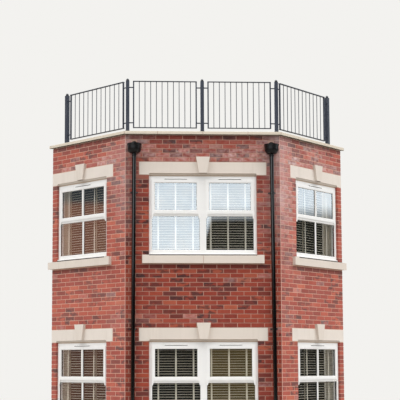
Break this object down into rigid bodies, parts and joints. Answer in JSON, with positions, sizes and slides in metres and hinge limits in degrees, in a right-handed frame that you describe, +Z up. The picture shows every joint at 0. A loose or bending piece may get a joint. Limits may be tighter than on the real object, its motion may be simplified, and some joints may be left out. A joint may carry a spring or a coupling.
{
  "type": "canted bay window",
  "caption": "Canted brick bay window with cast stone lintels, keystones, sills and coping, white windows, balcony deck, metal railing, hoppers and downpipes.",
  "frame": {"origin": "on the ground, in the plane of the house wall's outer face, midway between the canted sides", "axes": "+X to the right along the house wall, +Y into the house, +Z up; the front face looks along -Y"},
  "size_m": [5.3294, 1.7749, 6.683],
  "materials": {
    "brick": "matte, wire cut",
    "block": "matte, plastered inside",
    "cast_stone": "matte, fine sandy",
    "upvc": "satin white",
    "glass": "clear",
    "concrete": "trowelled",
    "timber": "sawn",
    "deck": "textured membrane",
    "plaster": "matte paint",
    "railing": "satin powder coat",
    "black_plastic": "satin black"
  },
  "bodies": {
    "root": {"front_wall": "brick", "left_wall": "brick", "right_wall": "brick", "left_return": "brick", "right_return": "brick", "front_inner_leaf": "block", "left_inner_leaf": "block", "right_inner_leaf": "block", "front_lintels": "cast_stone", "left_lintels": "cast_stone", "right_lintels": "cast_stone", "keystones": "cast_stone", "front_sills": "cast_stone", "left_sills": "cast_stone", "right_sills": "cast_stone", "front_coping": "cast_stone", "left_coping": "cast_stone", "right_coping": "cast_stone", "lower_front_frame": "upvc", "lower_left_frame": "upvc", "lower_right_frame": "upvc", "upper_front_frame": "upvc", "upper_left_frame": "upvc", "upper_right_frame": "upvc", "lower_sashes": "upvc", "upper_sashes": "upvc", "window_boards": "upvc", "lower_glass": "glass", "upper_glass": "glass", "ground_floor": "concrete", "first_floor_joists": "timber", "first_floor_boards": "timber", "roof_joists": "timber", "balcony_deck": "deck", "ceilings": "plaster", "railing_posts": "railing", "front_left_panel": "railing", "front_right_panel": "railing", "left_panel": "railing", "right_panel": "railing", "post_caps": "black_plastic", "hoppers": "black_plastic", "outlet_pipes": "black_plastic", "downpipes": "black_plastic", "pipe_clips": "black_plastic"}
  },
  "joints": []
}
